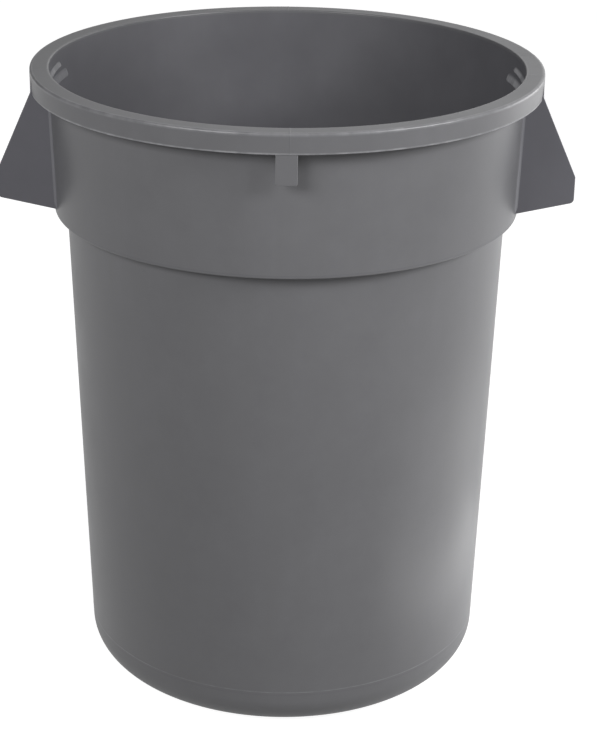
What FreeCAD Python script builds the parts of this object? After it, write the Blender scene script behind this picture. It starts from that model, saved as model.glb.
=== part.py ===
"""Round open trash can: a stepped, tapered shell with a hanging rim and two hand holds.

Millimetres, +Z up. The origin lies on the ground on the can's axis. The front faces -Y,
where the lid tab hangs from the rim, and the hand holds are on +X and -X.
"""
import FreeCAD
import Part
import Sketcher
import math
import os

# Driving dimensions, in millimetres, degrees and counts
SIZES = {
    # Shell: the walls lean outwards by the draft, from the ground to the rim
    "overall_height": 692.0,
    "wall": 3.2,
    "draft_angle": 1.7,
    # Rim: a flat top with a skirt that hangs outside the band
    "rim_diameter": 547.8,
    "rim_width": 20.4,
    "rim_wall": 3.6,
    "rim_skirt_height": 21.5,
    "rim_edge_radius": 1.8,
    "rim_mouth_radius": 1.5,
    # Wide upper band, and the step from it down to the drum
    "band_height": 154.3,
    "step_width": 13.2,
    "ledge_thickness": 3.6,
    "ledge_edge_radius": 1.2,
    # Foot: a rounded corner, a tread on the ground and a riser up to the floor
    "base_corner_radius": 37.0,
    "foot_straight": 9.0,
    "tread_width": 26.0,
    "floor_rise": 12.0,
    "floor_thickness": 3.6,
    # Stiffeners under the floor
    "floor_ring_diameter": 160.0,
    "floor_ring_depth": 10.5,
    "floor_rib_depth": 8.0,
    "floor_rib_thickness": 3.0,
    "floor_rib_count": 8,
    # Gussets inside the rim, between its skirt and the band
    "gusset_depth": 12.0,
    "gusset_thickness": 3.0,
    "gusset_handle_gap": 34.0,
    "gusset_count": 9,
    # Lid tabs that hang from the skirt at the front and the rear
    "tab_width": 21.4,
    "tab_drop": 30.5,
    "tab_thickness": 3.4,
    "tab_inset": 0.8,
    # Hand holds: a flat panel that slopes out from the skirt, a lip, and a web at each side
    "handle_width": 132.0,
    "handle_reach": 32.0,
    "handle_top_inset": 5.0,
    "handle_slope_height": 82.5,
    "handle_lip_height": 24.5,
    "handle_wall": 3.4,
    "grip_radius": 5.0,
    "grip_depth": 14.0,
    "web_foot_rise": 8.3,
    # Stiffening beads on the inside of the band, behind each hand hold
    "upper_bead_drop": 16.3,
    "upper_bead_height": 6.5,
    "upper_bead_length": 98.0,
    "lower_bead_drop": 30.6,
    "lower_bead_height": 11.5,
    "lower_bead_length": 140.0,
    "bead_relief": 2.0,
    "bead_seat": 0.2,
    # How far a cutting block runs past the solid that it trims
    "overrun": 10.0,
}

# Radii, heights and angles that follow from the driving dimensions
DERIVED = {
    "lean": "tan(Sizes.draft_angle)",
    "wall_width": "Sizes.wall / cos(Sizes.draft_angle)",
    # Rim
    "rim_radius": "Sizes.rim_diameter / 2",
    "mouth_radius": "rim_radius - Sizes.rim_width",
    "skirt_inner_radius": "rim_radius - Sizes.rim_wall",
    "cap_underside": "Sizes.overall_height - Sizes.rim_wall",
    "skirt_bottom": "Sizes.overall_height - Sizes.rim_skirt_height",
    # Band and step
    "ledge_bottom": "Sizes.overall_height - Sizes.band_height",
    "ledge_top": "ledge_bottom + Sizes.ledge_thickness",
    "band_inner_top": "mouth_radius - Sizes.rim_wall * lean",
    "band_outer_top": "band_inner_top + wall_width",
    "band_inner_foot": "mouth_radius - (Sizes.overall_height - ledge_top) * lean",
    "band_outer_foot": "band_inner_foot + wall_width",
    "ledge_outer_radius": "mouth_radius + wall_width - Sizes.band_height * lean",
    # Drum
    "drum_outer_top": "ledge_outer_radius - Sizes.step_width",
    "drum_inner_top": "drum_outer_top - wall_width",
    "ledge_inner_top": "drum_inner_top + Sizes.ledge_thickness * lean",
    "drum_ground_radius": "drum_outer_top - ledge_bottom * lean",
    # Foot: both arcs of the corner share one centre and end square to the leaning wall
    "corner_bore": "Sizes.base_corner_radius - Sizes.wall",
    "corner_center": "drum_ground_radius + Sizes.base_corner_radius * lean"
                     " - Sizes.base_corner_radius / cos(Sizes.draft_angle)",
    "corner_outer_radius": "corner_center + Sizes.base_corner_radius * cos(Sizes.draft_angle)",
    "corner_outer_height": "Sizes.base_corner_radius * (1 - sin(Sizes.draft_angle))",
    "corner_inner_radius": "corner_center + corner_bore * cos(Sizes.draft_angle)",
    "corner_inner_height": "Sizes.base_corner_radius - corner_bore * sin(Sizes.draft_angle)",
    "foot_top": "corner_outer_height + Sizes.foot_straight",
    "foot_outer_top": "drum_ground_radius + foot_top * lean",
    "foot_inner_top": "foot_outer_top - wall_width",
    "riser_outer_radius": "corner_center - Sizes.tread_width",
    "riser_inner_radius": "riser_outer_radius - Sizes.wall",
    "floor_top": "Sizes.floor_rise + Sizes.floor_thickness",
    # Stiffeners under the floor
    "floor_ring_radius": "Sizes.floor_ring_diameter / 2",
    "floor_ring_bore": "floor_ring_radius - Sizes.wall",
    "floor_ring_bottom": "Sizes.floor_rise - Sizes.floor_ring_depth",
    "floor_rib_bottom": "Sizes.floor_rise - Sizes.floor_rib_depth",
    "floor_rib_sweep": "2 * asin(Sizes.floor_rib_thickness / (floor_ring_radius + riser_inner_radius))",
    # Gussets inside the rim
    "gusset_bottom": "cap_underside - Sizes.gusset_depth",
    "gusset_wall_foot": "band_outer_top - Sizes.gusset_depth * lean",
    "gusset_sweep": "2 * asin(Sizes.gusset_thickness / (band_outer_top + skirt_inner_radius))",
    "gusset_start": "asin((Sizes.handle_width / 2 + Sizes.gusset_handle_gap) / skirt_inner_radius)",
    "gusset_span": "180 deg - 2 * gusset_start",
    "gusset_front_turn": "gusset_start + 180 deg",
    # Lid tabs
    "tab_outer_radius": "rim_radius - Sizes.tab_inset",
    "tab_inner_radius": "tab_outer_radius - Sizes.tab_thickness",
    "tab_bottom": "skirt_bottom - Sizes.tab_drop",
    "tab_sweep": "2 * asin(Sizes.tab_width / 2 / tab_outer_radius)",
    # Hand holds, measured straight out from the axis
    "slope_top": "rim_radius - Sizes.handle_top_inset",
    "lip_outside": "rim_radius + Sizes.handle_reach",
    "lip_inside": "lip_outside - Sizes.handle_wall",
    "lip_top": "skirt_bottom - Sizes.handle_slope_height",
    "lip_bottom": "lip_top - Sizes.handle_lip_height",
    "slope_angle": "atan((lip_outside - slope_top) / Sizes.handle_slope_height)",
    "panel_inner_top": "slope_top - Sizes.handle_wall / cos(slope_angle)",
    "panel_inner_knee": "lip_top - Sizes.handle_wall * tan(slope_angle / 2)",
    "grip_center": "lip_outside - Sizes.grip_radius",
    "grip_tail": "lip_outside - Sizes.grip_depth",
    "grip_bottom": "lip_bottom - Sizes.grip_radius",
    "grip_inner_bottom": "grip_bottom + Sizes.handle_wall",
    "handle_half_width": "Sizes.handle_width / 2",
    "handle_clear_width": "Sizes.handle_width - 2 * Sizes.handle_wall",
    "front_web_start": "handle_half_width - Sizes.handle_wall",
    "rear_web_start": "-handle_half_width",
    "web_foot": "ledge_bottom + Sizes.web_foot_rise",
    "web_foot_radius": "ledge_outer_radius + Sizes.web_foot_rise * lean",
    "web_foot_across": "sqrt(web_foot_radius ^ 2 - handle_half_width ^ 2)",
    "web_root": "web_foot_across - Sizes.overrun",
    # Room for a hand hold: outside the band and under the rim
    "handle_room_radius": "sqrt(lip_outside ^ 2 + handle_half_width ^ 2) + Sizes.overrun",
    "handle_room_sweep": "2 * asin((handle_half_width + Sizes.overrun) / ledge_outer_radius)",
}

# Turns about the axis, in degrees, that carry a piece drawn on +X to its side of the can
RIGHT_TURN = 0
REAR_TURN = 90
LEFT_TURN = 180
FRONT_TURN = 270

# Names for the two lines that an outline's point can lie on instead of having a size
AXIS = "axis"
GROUND = "ground"

# Two points nearer than this are one point
SAME_PLACE = 1e-6

doc = FreeCAD.newDocument("trash_can")
subparts = []


def fill_sheet(name, values, prefix):
    """Put each value in a cell of its own, under its own alias."""
    sheet = doc.addObject("Spreadsheet::Sheet", name)
    for row, (alias, content) in enumerate(values.items(), start=1):
        cell = f"B{row}"
        sheet.set(cell, prefix + str(content))
        sheet.setAlias(cell, alias)
    doc.recompute()
    return sheet


def bead_formulas(name):
    """A bead's outline on the leaning wall: two points at its seat and an arc inwards."""
    drop = f"Sizes.{name}_drop"
    half = f"Sizes.{name}_height / 2"
    relief = "Sizes.bead_relief"
    seat_top = "mouth_radius - Sizes.bead_seat"
    wall_radius = f"{seat_top} - {drop} * lean"
    arc_radius = f"(({half}) ^ 2 + {relief} ^ 2) / (2 * {relief})"
    return {
        f"{name}_top": f"Sizes.overall_height - {drop} + {half}",
        f"{name}_bottom": f"Sizes.overall_height - {drop} - {half}",
        f"{name}_top_radius": f"{seat_top} - ({drop} - {half}) * lean",
        f"{name}_bottom_radius": f"{seat_top} - ({drop} + {half}) * lean",
        f"{name}_center": f"{wall_radius} + ({arc_radius} - {relief}) * cos(Sizes.draft_angle)",
        f"{name}_center_height": f"Sizes.overall_height - {drop}",
        f"{name}_sweep": f"2 * asin(Sizes.{name}_length / 2 / ({wall_radius}))",
    }


DERIVED.update(bead_formulas("upper_bead"))
DERIVED.update(bead_formulas("lower_bead"))
sizes = fill_sheet("Sizes", SIZES, "")
derived = fill_sheet("Derived", DERIVED, "=")


def ref(alias):
    """The expression that reads a size or a derived value."""
    return f"Sizes.{alias}" if alias in SIZES else f"Derived.{alias}"


def value(alias):
    """The number that a size or a derived value holds now."""
    sheet = sizes if alias in SIZES else derived
    return float(sheet.get(alias))


def place(point):
    """A sketch position for a (radius, height) point, where the sketch starts from."""
    across = 0 if point[0] == AXIS else value(point[0])
    up = 0 if point[1] == GROUND else value(point[1])
    return FreeCAD.Vector(across, up, 0)


def keep(item):
    """Count a finished object as one sub-part of the can."""
    subparts.append(item)
    return item


def new_body(label, turn):
    """An empty body, turned about the axis to its side of the can."""
    body = doc.addObject("PartDesign::Body", label)
    body.Label = label
    upright = FreeCAD.Vector(0, 0, 1)
    body.Placement = FreeCAD.Placement(FreeCAD.Vector(), FreeCAD.Rotation(upright, turn))
    return body


def origin_feature(body, role):
    """One of the body's own planes or axes."""
    return next(item for item in body.Origin.OriginFeatures if item.Role == role)


def add_edge(sketch, start, end, center):
    """Draw a line, or the shorter arc about a centre; return its index and its two ends."""
    if center is None:
        return sketch.addGeometry(Part.LineSegment(start, end)), 1, 2
    first = start - center
    last = end - center
    turns_left = first.cross(last).z > 0
    angles = [math.atan2(spoke.y, spoke.x) for spoke in (first, last)]
    if not turns_left:
        angles.reverse()
    circle = Part.Circle(center, FreeCAD.Vector(0, 0, 1), first.Length)
    index = sketch.addGeometry(Part.ArcOfCircle(circle, angles[0], angles[1]))
    return (index, 1, 2) if turns_left else (index, 2, 1)


def fix(sketch, kind, index, end, alias, axis_line):
    """Hold one coordinate of a point at a named size, or on the axis or the ground."""
    if alias in (AXIS, GROUND):
        sketch.addConstraint(Sketcher.Constraint("PointOnObject", index, end, axis_line))
        return
    origin = -1
    number = sketch.addConstraint(
        Sketcher.Constraint(kind, origin, 1, index, end, value(alias)))
    name = f"{kind}_{number}"
    sketch.renameConstraint(number, name)
    sketch.setExpression(f"Constraints.{name}", ref(alias))


def outline_sketch(body, outline):
    """Draw a closed outline in the half plane through the axis.

    A corner is (radius, height). A corner with two more names starts an arc, and they
    give the arc's centre.
    """
    sketch = body.newObject("Sketcher::SketchObject", f"{body.Label}_outline")
    sketch.AttachmentSupport = [(origin_feature(body, "XZ_Plane"), "")]
    sketch.MapMode = "FlatFace"
    doc.recompute()
    horizontal, vertical, middle = -1, -2, 3
    edges = []
    for number, corner in enumerate(outline):
        following = outline[(number + 1) % len(outline)]
        center = place(corner[2:]) if len(corner) > 2 else None
        edges.append(add_edge(sketch, place(corner), place(following), center))
    for number, (index, start, end) in enumerate(edges):
        next_index, next_start, _ = edges[(number + 1) % len(edges)]
        sketch.addConstraint(Sketcher.Constraint("Coincident", index, end, next_index, next_start))
        corner = outline[number]
        fix(sketch, "DistanceX", index, start, corner[0], vertical)
        fix(sketch, "DistanceY", index, start, corner[1], horizontal)
        if len(corner) > 2:
            fix(sketch, "DistanceX", index, middle, corner[2], vertical)
    return sketch


def revolved(label, outline, sweep=None, turn=RIGHT_TURN):
    """Turn an outline about the axis: all the way, or through a named angle about +X."""
    body = new_body(label, turn)
    sketch = outline_sketch(body, outline)
    ring = body.newObject("PartDesign::Revolution", f"{label}_ring")
    ring.Profile = sketch
    ring.ReferenceAxis = (sketch, ["V_Axis"])
    if sweep is not None:
        ring.Midplane = True
        ring.setExpression("Angle", ref(sweep))
    body.Tip = ring
    doc.recompute()
    return body


def round_circle(body, radius, height, fillet_radius):
    """Round the circular edges that lie at one radius and height."""
    base = body.Tip
    aim = place((radius, height))
    chosen = []
    for number, edge in enumerate(base.Shape.Edges, start=1):
        if not isinstance(edge.Curve, Part.Circle):
            continue
        circle = FreeCAD.Vector(edge.Curve.Radius, edge.Curve.Center.z, 0)
        if circle.isEqual(aim, SAME_PLACE):
            chosen.append(f"Edge{number}")
    fillet = body.newObject("PartDesign::Fillet", f"{body.Label}_{fillet_radius}")
    fillet.Base = (base, chosen)
    fillet.setExpression("Radius", ref(fillet_radius))
    body.Tip = fillet
    doc.recompute()


def repeat_round(body, count, span):
    """Repeat a body's first feature about the axis, as separate solids."""
    body.AllowCompound = True
    pattern = body.newObject("PartDesign::PolarPattern", f"{body.Label}_pattern")
    pattern.Originals = [body.Tip]
    pattern.Axis = (origin_feature(body, "Z_Axis"), [""])
    pattern.setExpression("Occurrences", ref(count))
    if span is not None:
        pattern.setExpression("Angle", ref(span))
    body.Tip = pattern
    doc.recompute()


def padded(label, outline, turn, width, start=None):
    """Thicken an outline along Y by a named width: about the axis, or from a named start."""
    body = new_body(label, turn)
    sketch = outline_sketch(body, outline)
    pad = body.newObject("PartDesign::Pad", f"{label}_pad")
    pad.Profile = sketch
    pad.setExpression("Length", ref(width))
    if start is None:
        pad.Midplane = True
    else:
        sketch.setExpression(".AttachmentOffset.Base.z", ref(start))
    body.Tip = pad
    doc.recompute()
    return body


def trimmed(label, blank, room):
    """Keep the part of a flat blank that lies in the room that the shell leaves for it."""
    piece = doc.addObject("Part::Common", label)
    piece.Label = label
    piece.Base = blank
    piece.Tool = room
    doc.recompute()
    return keep(piece)


def make_foot():
    """Foot ring, floor, and the ring and ribs that stiffen the floor from below."""
    keep(revolved("foot_ring", (
        ("riser_inner_radius", GROUND),
        ("corner_center", GROUND, "corner_center", "base_corner_radius"),
        ("corner_outer_radius", "corner_outer_height"),
        ("foot_outer_top", "foot_top"),
        ("foot_inner_top", "foot_top"),
        ("corner_inner_radius", "corner_inner_height", "corner_center", "base_corner_radius"),
        ("corner_center", "wall"),
        ("riser_outer_radius", "wall"),
        ("riser_outer_radius", "floor_rise"),
        ("riser_inner_radius", "floor_rise"),
    )))
    keep(revolved("base_floor", (
        (AXIS, "floor_rise"),
        ("riser_outer_radius", "floor_rise"),
        ("riser_outer_radius", "floor_top"),
        (AXIS, "floor_top"),
    )))
    keep(revolved("floor_ring", (
        ("floor_ring_bore", "floor_ring_bottom"),
        ("floor_ring_radius", "floor_ring_bottom"),
        ("floor_ring_radius", "floor_rise"),
        ("floor_ring_bore", "floor_rise"),
    )))
    ribs = keep(revolved("floor_ribs", (
        ("floor_ring_radius", "floor_rib_bottom"),
        ("riser_inner_radius", "floor_rib_bottom"),
        ("riser_inner_radius", "floor_rise"),
        ("floor_ring_radius", "floor_rise"),
    ), "floor_rib_sweep"))
    repeat_round(ribs, "floor_rib_count", None)


def make_shell():
    """Drum wall, the ledge on top of it, and the wider band on the ledge."""
    keep(revolved("drum_wall", (
        ("foot_outer_top", "foot_top"),
        ("drum_outer_top", "ledge_bottom"),
        ("drum_inner_top", "ledge_bottom"),
        ("foot_inner_top", "foot_top"),
    )))
    ledge = keep(revolved("step_ledge", (
        ("drum_inner_top", "ledge_bottom"),
        ("ledge_outer_radius", "ledge_bottom"),
        ("band_outer_foot", "ledge_top"),
        ("ledge_inner_top", "ledge_top"),
    )))
    round_circle(ledge, "ledge_outer_radius", "ledge_bottom", "ledge_edge_radius")
    keep(revolved("upper_band", (
        ("band_inner_foot", "ledge_top"),
        ("band_outer_foot", "ledge_top"),
        ("band_outer_top", "cap_underside"),
        ("band_inner_top", "cap_underside"),
    )))


def make_rim():
    """Rim, the gussets inside it, and the two lid tabs that hang from its skirt."""
    rim = keep(revolved("rim", (
        ("band_inner_top", "cap_underside"),
        ("skirt_inner_radius", "cap_underside"),
        ("skirt_inner_radius", "skirt_bottom"),
        ("rim_radius", "skirt_bottom"),
        ("rim_radius", "overall_height"),
        ("mouth_radius", "overall_height"),
    )))
    round_circle(rim, "rim_radius", "overall_height", "rim_edge_radius")
    round_circle(rim, "mouth_radius", "overall_height", "rim_mouth_radius")
    for name, turn in (("front", "gusset_front_turn"), ("rear", "gusset_start")):
        gussets = keep(revolved(f"rim_gussets_{name}", (
            ("gusset_wall_foot", "gusset_bottom"),
            ("skirt_inner_radius", "gusset_bottom"),
            ("skirt_inner_radius", "cap_underside"),
            ("band_outer_top", "cap_underside"),
        ), "gusset_sweep"))
        repeat_round(gussets, "gusset_count", "gusset_span")
        gussets.setExpression("Placement.Rotation.Angle", ref(turn))
    for name, turn in (("front", FRONT_TURN), ("rear", REAR_TURN)):
        keep(revolved(f"{name}_lid_tab", (
            ("tab_inner_radius", "tab_bottom"),
            ("tab_outer_radius", "tab_bottom"),
            ("tab_outer_radius", "skirt_bottom"),
            ("tab_inner_radius", "skirt_bottom"),
        ), "tab_sweep", turn))


def make_handle(side, turn):
    """One hand hold: flat sloped panel with its lip, rounded grip, and a web at each side.

    The panel's head fills the rim's channel behind the skirt.
    """
    web_outline = (
        ("web_root", "web_foot"),
        ("web_foot_across", "web_foot"),
        ("grip_center", "grip_bottom", "grip_center", "lip_bottom"),
        ("lip_outside", "lip_bottom"),
        ("lip_outside", "lip_top"),
        ("slope_top", "skirt_bottom"),
        ("slope_top", "cap_underside"),
        ("web_root", "cap_underside"),
    )
    panel_outline = (
        ("lip_inside", "lip_bottom"),
        ("lip_outside", "lip_bottom"),
        ("lip_outside", "lip_top"),
        ("slope_top", "skirt_bottom"),
        ("rim_radius", "skirt_bottom"),
        ("rim_radius", "cap_underside"),
        ("panel_inner_top", "cap_underside"),
        ("panel_inner_top", "skirt_bottom"),
        ("lip_inside", "panel_inner_knee"),
    )
    grip_outline = (
        ("grip_tail", "grip_bottom"),
        ("grip_center", "grip_bottom", "grip_center", "lip_bottom"),
        ("lip_outside", "lip_bottom"),
        ("lip_inside", "lip_bottom", "grip_center", "lip_bottom"),
        ("grip_center", "grip_inner_bottom"),
        ("grip_tail", "grip_inner_bottom"),
    )
    room = revolved(f"{side}_handle_room", (
        ("ledge_outer_radius", "ledge_bottom"),
        ("handle_room_radius", "ledge_bottom"),
        ("handle_room_radius", "skirt_bottom"),
        ("skirt_inner_radius", "skirt_bottom"),
        ("skirt_inner_radius", "cap_underside"),
        ("band_outer_top", "cap_underside"),
    ), "handle_room_sweep", turn)
    front, rear = "front_web_start", "rear_web_start"
    if turn == LEFT_TURN:
        front, rear = rear, front
    pieces = (
        ("front_web", web_outline, "handle_wall", front),
        ("rear_web", web_outline, "handle_wall", rear),
        ("panel", panel_outline, "handle_clear_width", None),
        ("grip", grip_outline, "handle_clear_width", None),
    )
    for name, outline, width, start in pieces:
        label = f"{side}_handle_{name}"
        trimmed(label, padded(f"{label}_blank", outline, turn, width, start), room)


def make_beads(side, turn):
    """The two stiffening beads on the inside of the band behind one hand hold."""
    for name in ("upper_bead", "lower_bead"):
        keep(revolved(f"{side}_{name}", (
            (f"{name}_top_radius", f"{name}_top", f"{name}_center", f"{name}_center_height"),
            (f"{name}_bottom_radius", f"{name}_bottom"),
        ), f"{name}_sweep", turn))


def check_and_write():
    """Stop on any failed object or bad shape, then write each sub-part to its own file."""
    doc.recompute()
    for item in doc.Objects:
        if "Invalid" in item.State or "Error" in item.State:
            raise RuntimeError(f"{item.Label} failed to build: {item.State}")
    for item in subparts:
        if item.Shape.isNull() or not item.Shape.isValid() or not item.Shape.Solids:
            raise RuntimeError(f"{item.Label} has no valid solid")
    os.makedirs("parts", exist_ok=True)
    for item in subparts:
        item.Shape.exportStep(f"parts/{item.Label}.step")
        box = item.Shape.BoundBox
        print(f"{item.Label}: {len(item.Shape.Solids)} solid(s), {item.Shape.Volume:.0f} mm3,"
              f" z {box.ZMin:.2f} to {box.ZMax:.2f}")


make_foot()
make_shell()
make_rim()
for side, turn in (("left", LEFT_TURN), ("right", RIGHT_TURN)):
    make_handle(side, turn)
    make_beads(side, turn)
check_and_write()
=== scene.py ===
"""Finished surfaces and studio for a round, grey, open-topped trash can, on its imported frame.

Metres, +Z up. The can stands on the ground on the Z axis, its front faces -Y and its hand holds are
on +X and -X. Every piece is a grid of points: closed loops, row after row, skinned with quads.
Radii and heights come from the frame's boxes where these give them, and the rest are properties.
"""
import math
from typing import NamedTuple

import bpy
import numpy as np
from bpy.props import FloatProperty, FloatVectorProperty, IntProperty, PointerProperty
from mathutils import Matrix, Vector


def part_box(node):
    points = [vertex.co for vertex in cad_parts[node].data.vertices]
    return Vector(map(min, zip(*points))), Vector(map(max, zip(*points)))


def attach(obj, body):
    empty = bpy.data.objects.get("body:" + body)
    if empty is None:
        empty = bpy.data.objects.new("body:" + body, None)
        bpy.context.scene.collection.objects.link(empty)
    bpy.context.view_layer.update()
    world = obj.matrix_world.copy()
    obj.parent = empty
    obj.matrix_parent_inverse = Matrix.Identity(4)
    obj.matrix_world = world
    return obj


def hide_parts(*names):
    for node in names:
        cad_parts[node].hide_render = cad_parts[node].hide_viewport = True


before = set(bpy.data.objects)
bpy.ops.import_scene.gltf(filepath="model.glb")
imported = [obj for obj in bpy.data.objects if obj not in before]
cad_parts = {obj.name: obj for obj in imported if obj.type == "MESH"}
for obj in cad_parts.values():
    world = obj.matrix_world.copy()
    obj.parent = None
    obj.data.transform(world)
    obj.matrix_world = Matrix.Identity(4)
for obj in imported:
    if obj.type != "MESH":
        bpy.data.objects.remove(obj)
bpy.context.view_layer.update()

bl_info = {
    "name": "Moulded Trash Can",
    "version": (1, 0, 0),
    "blender": (4, 5, 0),
    "location": "View3D > Sidebar > Trash Can",
    "description": "Builds the finished surfaces and the studio of a round moulded trash can",
    "category": "Add Mesh",
}

MM = 0.001
BODY = "root"

# Radii and heights that the frame gives
RIM_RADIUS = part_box("rim")[1].y
RIM_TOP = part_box("rim")[1].z
SKIRT_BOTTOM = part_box("rim")[0].z
CAP_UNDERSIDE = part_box("upper_band")[1].z
BAND_OUTER_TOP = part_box("upper_band")[1].x
BAND_OUTER_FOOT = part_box("step_ledge")[1].x
LEDGE_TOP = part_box("step_ledge")[1].z
LEDGE_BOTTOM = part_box("step_ledge")[0].z
DRUM_OUTER_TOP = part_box("drum_wall")[1].x
FOOT_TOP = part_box("foot_ring")[1].z
FOOT_OUTER_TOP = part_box("foot_ring")[1].x
FLOOR_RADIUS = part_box("base_floor")[1].x
FLOOR_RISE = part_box("base_floor")[0].z
FLOOR_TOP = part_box("base_floor")[1].z
FLOOR_RING_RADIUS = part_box("floor_ring")[1].x
FLOOR_RING_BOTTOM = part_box("floor_ring")[0].z
RIB_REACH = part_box("floor_ribs")[1].x
RIB_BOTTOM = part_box("floor_ribs")[0].z
GUSSET_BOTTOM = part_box("rim_gussets_front")[0].z
LIP_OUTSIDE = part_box("right_handle_panel")[1].x
LIP_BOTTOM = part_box("right_handle_panel")[0].z
GRIP_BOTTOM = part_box("right_handle_grip")[0].z
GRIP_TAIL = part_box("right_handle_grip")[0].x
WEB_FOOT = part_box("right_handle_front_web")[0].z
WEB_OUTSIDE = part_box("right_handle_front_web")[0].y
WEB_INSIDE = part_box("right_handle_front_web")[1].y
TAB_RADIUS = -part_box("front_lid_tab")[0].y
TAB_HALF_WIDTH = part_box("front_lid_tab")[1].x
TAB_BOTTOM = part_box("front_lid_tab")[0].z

# How far the walls lean outwards for each unit of height
LEAN = (DRUM_OUTER_TOP - FOOT_OUTER_TOP) / (LEDGE_BOTTOM - FOOT_TOP)
WALL_STRETCH = math.hypot(1, LEAN)

FRONT = math.radians(-90)
REAR = math.radians(90)
SIDES = {"right": 1, "left": -1}

# How finely surfaces are divided
RING_STEPS = 288
RUN_STEP = 14 * MM
ARC_SAG = 0.015 * MM
LEAST_ARC_STEPS = 4
RUN_MARGIN = 1.6 * MM
FACE_MARGIN = 0.4 * MM
EDGE_STEPS = 5
SEAM_STEPS = 17
ROOT_LEVELS = 49
ROOT_ARC_STEPS = 9
PANEL_STATIONS = 33
FLOOR_CIRCLES = 24
BEAD_STATIONS = 61
BEAD_FACE_STEPS = 33
BEAD_BACK_STEPS = 5
LEAST_GAP = 0.001 * MM
TURN_DIGITS = 7
SHARP_ANGLE = math.radians(38)

# How many half widths the closer steps reach to each side of a parting line
SEAM_REACH = 2

# The largest rounding that counts as an edge, for wear, painted highlight and polish
LARGEST_EDGE_RADIUS = 4 * MM

# How far an inward miter points down where a face looks up into the can
FACES_UP = 0.9

# How deep the seats and the hidden backs of pieces lie in their neighbours, as shares of the wall
SEAT_DEPTH = 0.1
BACK_DEPTH = 0.25

# How far the rim's edges, the mould's lines, the plates, their roots and the beads are painted paler:
# handling wear on the skirt's lower edge, and a painted highlight on the rest, where light catches them
RIM_HIGHLIGHT = 0.35
SKIRT_WEAR = 0.9
SEAM_HIGHLIGHT = 0.3
SIDE_SEAM_HIGHLIGHT = 0.6
LINE_HIGHLIGHT = 0.4
TAB_HIGHLIGHT = 0.6
WEB_HIGHLIGHT = 0.3
ROOT_HIGHLIGHT = 0.5
# The beads' painted highlight is stronger on the right, where the inside wall lies in shade
BEAD_HIGHLIGHT = {"right": 1.4, "left": 0.6}

# How far the inside and the hand holds take the painted shade, a darkening with a faint violet tint
INSIDE_PAINTED_SHADE = 0.5
HOLD_PAINTED_SHADE = 1.0


def length(name, description, millimetres):
    """A property that holds a length, in metres, with its default given in millimetres."""
    return FloatProperty(
        name=name, description=description, default=millimetres * MM, unit="LENGTH", precision=4)


def angle(name, description, degrees):
    """A property that holds an angle, in radians, with its default given in degrees."""
    return FloatProperty(
        name=name, description=description, default=math.radians(degrees), subtype="ANGLE")


def linear(hex_colour):
    """Linear RGB of an sRGB hex colour: each channel through the inverse of the sRGB curve."""
    channels = np.array([int(hex_colour[i:i + 2], 16) / 255 for i in (1, 3, 5)])
    low = channels / 12.92
    high = ((channels + 0.055) / 1.055) ** 2.4
    return tuple(np.where(channels <= 0.04045, low, high))


def colour(name, description, hex_colour):
    """A property that holds a colour, with its default given as sRGB hex."""
    return FloatVectorProperty(
        name=name, description=description, default=linear(hex_colour), subtype="COLOR",
        size=3, min=0, max=1)


class ShellSizes(bpy.types.PropertyGroup):
    """Sizes of the shell, the rim and the foot that the frame's boxes don't give."""
    wall: length("Wall", "Thickness of the shell's walls", 3.2)
    rim_wall: length("Rim wall", "Thickness of the rim's top and skirt", 3.6)
    rim_edge: length("Rim edge", "Rounding of the rim's outer top edge", 2.2)
    mouth_edge: length("Mouth edge", "Rounding of the rim's inner top edge", 1.5)
    skirt_edge: length("Skirt edge", "Rounding of the skirt's lower edges", 0.9)
    channel_fillet: length("Channel fillet", "Fillet between the rim's top and its skirt", 2.0)
    seam_height: length("Seam height", "Height of the mould's parting lines on the rim", 0.16)
    seam_width: length("Seam width", "Half width of the parting lines", 0.55)
    ledge_edge: length("Ledge edge", "Rounding of the band's lower edge", 1.4)
    ledge_fillet: length("Ledge fillet", "Fillets where the ledge meets the walls", 3.5)
    base_corner: length("Base corner", "Outer radius of the rounded lower corner", 37.0)
    tread_edge: length("Tread edge", "Rounding of the tread's inner edge", 1.0)
    foot_line_rise: length("Foot line rise", "Mould line's distance above the foot's top", 3.0)
    foot_line_height: length("Foot line height", "How far the mould line stands proud", 0.12)
    foot_line_width: length("Foot line width", "Half width of the mould line", 0.9)
    warp: length("Warp", "Slight waviness that cooling leaves in the walls", 0.18)
    floor_dome: length("Floor dome", "How far the floor rises to its middle", 0.8)
    gate_radius: length("Gate radius", "Radius of the moulding gate's recess", 8.0)
    gate_depth: length("Gate depth", "Depth of the gate's recess", 0.8)
    rib_thickness: length("Rib thickness", "Thickness of the floor's ribs", 3.0)
    rib_count: IntProperty(name="Ribs", description="Number of ribs under the floor", default=8)
    gusset_thickness: length("Gusset thickness", "Thickness of the rim's gussets", 3.0)
    gusset_gap: length("Gusset gap", "Gap between a hand hold and the first gusset", 34.0)
    gusset_count: IntProperty(name="Gussets", description="Gussets on each half of the rim", default=9)
    tab_thickness: length("Tab thickness", "Thickness of the lid tabs", 3.4)
    tab_corner: length("Tab corner", "Rounding of a tab's lower corners", 1.6)
    bead_relief: length("Bead relief", "How far the beads stand off the band", 2.6)
    bead_end: length("Bead end", "Stretch over which the beads run out at their ends", 7.0)
    plate_edge: length("Plate edge", "Rounding of the edges of tabs, webs and ribs", 0.7)


class HandleSizes(bpy.types.PropertyGroup):
    """Sizes of the hand holds that the frame's boxes don't give."""
    top_inset: length("Top inset", "How far the slope starts inside the rim's radius", 5.0)
    lip_height: length("Lip height", "Height of the upright lip below the slope", 24.5)
    wall: length("Wall", "Thickness of the panel, the grip and the webs", 3.4)
    knee: length("Knee", "Inner rounding between the slope and the lip", 2.0)
    grip_edge: length("Grip edge", "Rounding of the grip's free edge", 1.2)
    root_fillet: length("Root fillet", "Fillet where the webs meet the band", 3.5)
    root_fade: length("Root fade", "Distance over which the fillet becomes a rounded edge", 8.0)


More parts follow.
